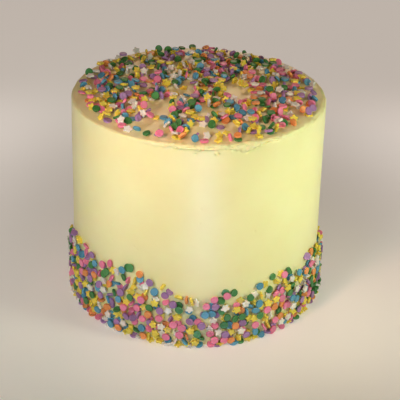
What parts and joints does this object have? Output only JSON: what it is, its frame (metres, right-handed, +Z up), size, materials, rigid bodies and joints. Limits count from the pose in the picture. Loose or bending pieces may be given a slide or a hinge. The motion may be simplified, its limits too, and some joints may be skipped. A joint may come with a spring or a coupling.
{
  "type": "frosted birthday cake with sprinkles",
  "caption": "Tall round birthday cake in smooth pale yellow buttercream, with confetti sprinkles over its top and in a wavy band round its foot.",
  "frame": {"origin": "middle of the cake's flat underside", "axes": "+Z up through the middle of the cake; -Y towards the side shown in the picture, +X to its right"},
  "size_m": [0.1754, 0.1742, 0.1421],
  "materials": {
    "buttercream": "satin buttercream icing",
    "sprinkle_pink": "dry sugar paste",
    "sprinkle_purple": "dry sugar paste",
    "sprinkle_blue": "dry sugar paste",
    "sprinkle_green": "dry sugar paste",
    "sprinkle_orange": "dry sugar paste",
    "sprinkle_yellow": "dry sugar paste",
    "sprinkle_white": "dry sugar paste"
  },
  "bodies": {
    "root": {"cake": "buttercream"}
  },
  "joints": []
}
